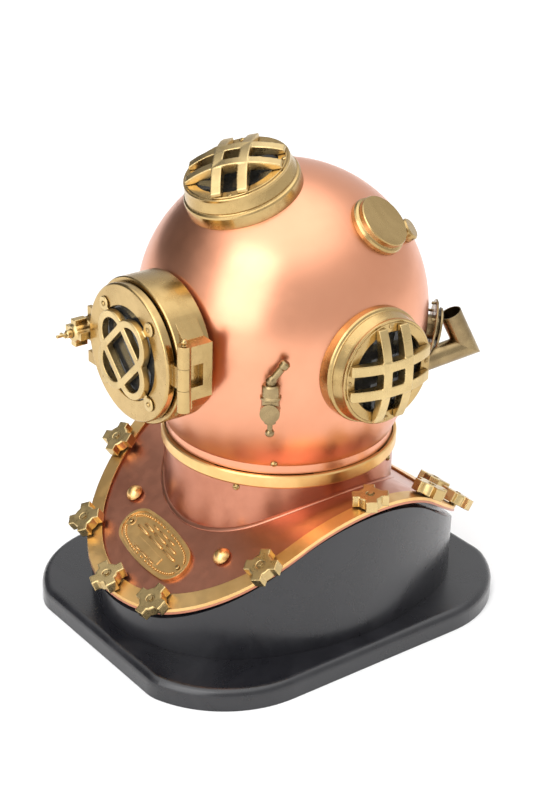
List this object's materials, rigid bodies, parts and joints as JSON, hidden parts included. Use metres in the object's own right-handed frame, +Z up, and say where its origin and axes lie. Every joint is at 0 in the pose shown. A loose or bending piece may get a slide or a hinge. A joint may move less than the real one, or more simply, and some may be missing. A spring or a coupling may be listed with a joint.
{
  "type": "diving helmet ornament",
  "caption": "Full-size decorative deep-sea diving helmet in copper and brass with a hinged front port and guarded side and top ports, on a black saddle-shaped display stand.",
  "frame": {"origin": "on the helmet's vertical axis, on the flat underside of the stand", "axes": "+Z up, -Y to the front of the helmet where the hinged port is, +X to the wearer's left"},
  "size_m": [0.354, 0.4275, 0.4919],
  "materials": {
    "copper": "satin copper, lightly lacquered",
    "brown_copper": "satin copper toned brown",
    "brass": "aged satin brass",
    "dark_brass": "dull aged brass",
    "black_lacquer": "black gloss lacquer on wood",
    "glass": "smoked flat glass",
    "rubber": "matt black",
    "zinc_steel": "zinc plated"
  },
  "bodies": {
    "stand": {"plinth": "black_lacquer", "saddle_block": "black_lacquer", "stand_screws": "zinc_steel"},
    "breastplate": {"breastplate": "brown_copper", "neck_collar": "brown_copper", "collar_screws": "brass", "neck_ring": "brass", "front_left_strap": "brass", "front_right_strap": "brass", "rear_left_strap": "brass", "rear_right_strap": "brass", "strap_studs": "brass", "strap_nuts": "brass", "breastplate_studs": "brass", "nameplate": "brass", "nameplate_screws": "brass"},
    "bonnet": {"bonnet": "copper", "bonnet_screws": "brass", "bonnet_lock_ring": "brass", "left_port_seat": "brass", "left_port_gasket": "rubber", "left_port_glass": "glass", "left_face_ring": "brass", "left_port_screws": "brass", "left_port_guard": "brass", "right_port_seat": "brass", "right_port_gasket": "rubber", "right_port_glass": "glass", "right_face_ring": "brass", "right_port_screws": "brass", "right_port_guard": "brass", "top_port_seat": "brass", "top_port_gasket": "rubber", "top_port_glass": "glass", "top_face_ring": "brass", "top_port_screws": "brass", "top_port_guard": "brass", "door_seat": "brass", "door_seal": "rubber", "hinge_pin": "brass", "latch_pivot_pin": "brass", "spitcock_body": "dark_brass", "rear_cap": "brass", "rear_boss": "brass", "outlet_valve_cover": "dark_brass", "outlet_valve_screws": "dark_brass", "air_elbow": "dark_brass"},
    "door": {"door_ring": "brass", "door_glass": "glass", "door_glass_retainer": "brass", "door_guard": "brass", "door_guard_screws": "brass"},
    "latch_bolt": {"latch_bolt": "brass"},
    "latch_washer": {"latch_washer": "brass"},
    "latch_nut": {"latch_nut": "brass"},
    "spitcock_lever": {"spitcock_lever": "dark_brass"}
  },
  "joints": [
    {"name": "helmet_lift", "type": "slide", "parent": "stand", "child": "breastplate", "axis": [0, 0, 1], "range_m": [0, 0.25]},
    {"name": "bonnet_turn", "type": "hinge", "parent": "breastplate", "child": "bonnet", "pos_m": [0, 0, 0.186], "axis": [0, 0, 1], "range_deg": [0, 45]},
    {"name": "door_swing", "type": "hinge", "parent": "bonnet", "child": "door", "pos_m": [0.0776, -0.1697, 0.3135], "axis": [0, 0, 1], "range_deg": [0, 110]},
    {"name": "latch_swing", "type": "hinge", "parent": "bonnet", "child": "latch_bolt", "pos_m": [-0.081, -0.14, 0.3045], "axis": [0, 0, -1], "range_deg": [0, 90]},
    {"name": "latch_nut_travel", "type": "slide", "parent": "latch_bolt", "child": "latch_washer", "axis": [0, -1, 0], "range_m": [0, 0.005]},
    {"name": "latch_nut_turn", "type": "hinge", "parent": "latch_washer", "child": "latch_nut", "pos_m": [-0.081, -0.18, 0.3045], "axis": [0, -1, 0], "range_deg": [0, 1202]},
    {"name": "spitcock_turn", "type": "hinge", "parent": "bonnet", "child": "spitcock_lever", "pos_m": [0.11472, -0.09972, 0.3], "axis": [0, 0, -1], "range_deg": [0, 90]}
  ],
  "couplings": [
    {"joint": "latch_nut_turn", "follows": "latch_nut_travel", "rad_per_m": 4188.8}
  ]
}
